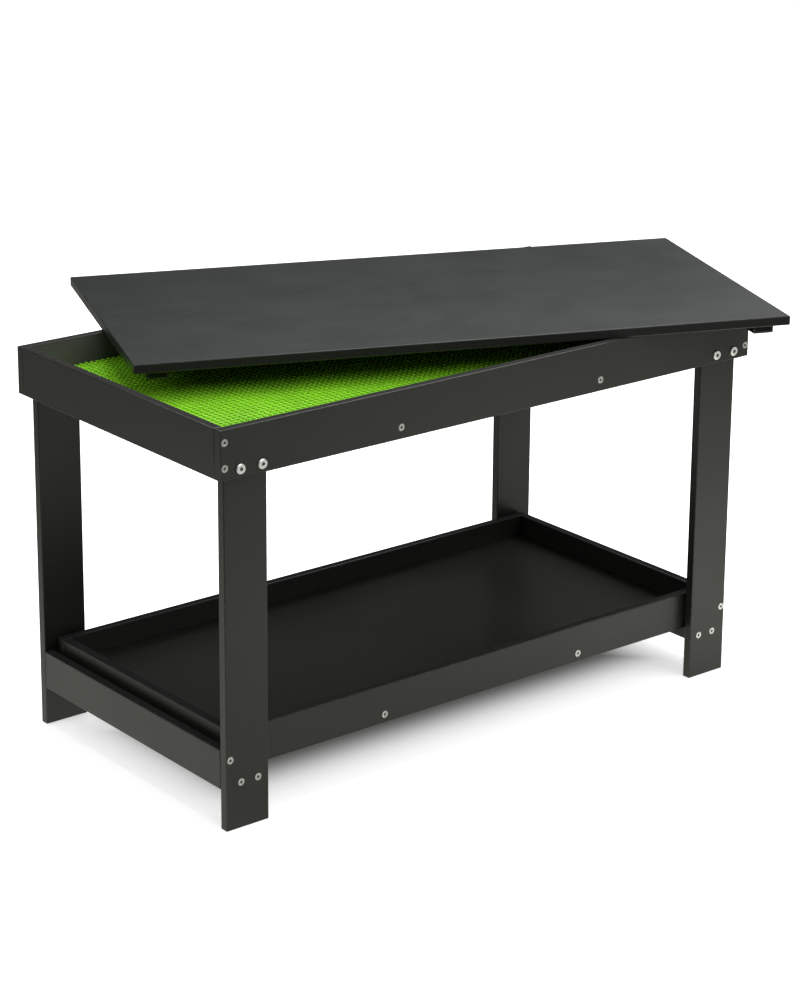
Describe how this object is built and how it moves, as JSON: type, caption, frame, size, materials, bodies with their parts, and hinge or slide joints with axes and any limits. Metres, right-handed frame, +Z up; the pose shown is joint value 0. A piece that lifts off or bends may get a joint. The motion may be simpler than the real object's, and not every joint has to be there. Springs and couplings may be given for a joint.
{
  "type": "activity table",
  "caption": "Low play table with a studded play surface sunk inside a raised rim, a shelf tray between its board legs, and a lift-off lid lying askew on top.",
  "frame": {"origin": "middle of the bounding box on the floor, with the lid lying askew on the rim", "axes": "+X along the table's length to its right end, +Y from the front to the rear, +Z up"},
  "size_m": [0.9722, 0.7036, 0.5023],
  "materials": {
    "black_paint": "satin black paint on fibreboard",
    "stud_plastic": "glossy bright green moulded plastic",
    "zinc": "zinc plated steel"
  },
  "bodies": {
    "table": {"front_apron": "black_paint", "rear_apron": "black_paint", "left_apron": "black_paint", "right_apron": "black_paint", "play_panel": "black_paint", "stud_plate_front_1": "stud_plastic", "stud_plate_front_2": "stud_plastic", "stud_plate_front_3": "stud_plastic", "stud_plate_front_4": "stud_plastic", "stud_plate_rear_1": "stud_plastic", "stud_plate_rear_2": "stud_plastic", "stud_plate_rear_3": "stud_plastic", "stud_plate_rear_4": "stud_plastic", "play_batten_left": "black_paint", "play_batten_right": "black_paint", "leg_front_left": "black_paint", "leg_front_right": "black_paint", "leg_rear_left": "black_paint", "leg_rear_right": "black_paint", "end_rail_left": "black_paint", "end_rail_right": "black_paint", "cross_board_left": "black_paint", "cross_board_right": "black_paint", "shelf_rail_front": "black_paint", "shelf_rail_rear": "black_paint", "shelf_end_left": "black_paint", "shelf_end_right": "black_paint", "shelf_panel": "black_paint", "shelf_batten_left": "black_paint", "shelf_batten_right": "black_paint", "apron_corner_screws": "zinc", "play_batten_screws": "zinc", "leg_bolts": "zinc", "leg_inserts": "zinc", "end_rail_screws": "zinc", "cross_board_screws": "zinc", "shelf_corner_screws": "zinc", "shelf_batten_screws": "zinc", "shelf_fixing_screws": "zinc"},
    "lid": {"lid_board": "black_paint", "cleat_front_left": "black_paint", "cleat_front_right": "black_paint", "cleat_rear_left": "black_paint", "cleat_rear_right": "black_paint", "cleat_screws": "zinc"}
  },
  "joints": [
    {"name": "lid_lift", "type": "slide", "parent": "table", "child": "lid", "axis": [0, 0, 1], "range_m": [0, 0.12]}
  ]
}
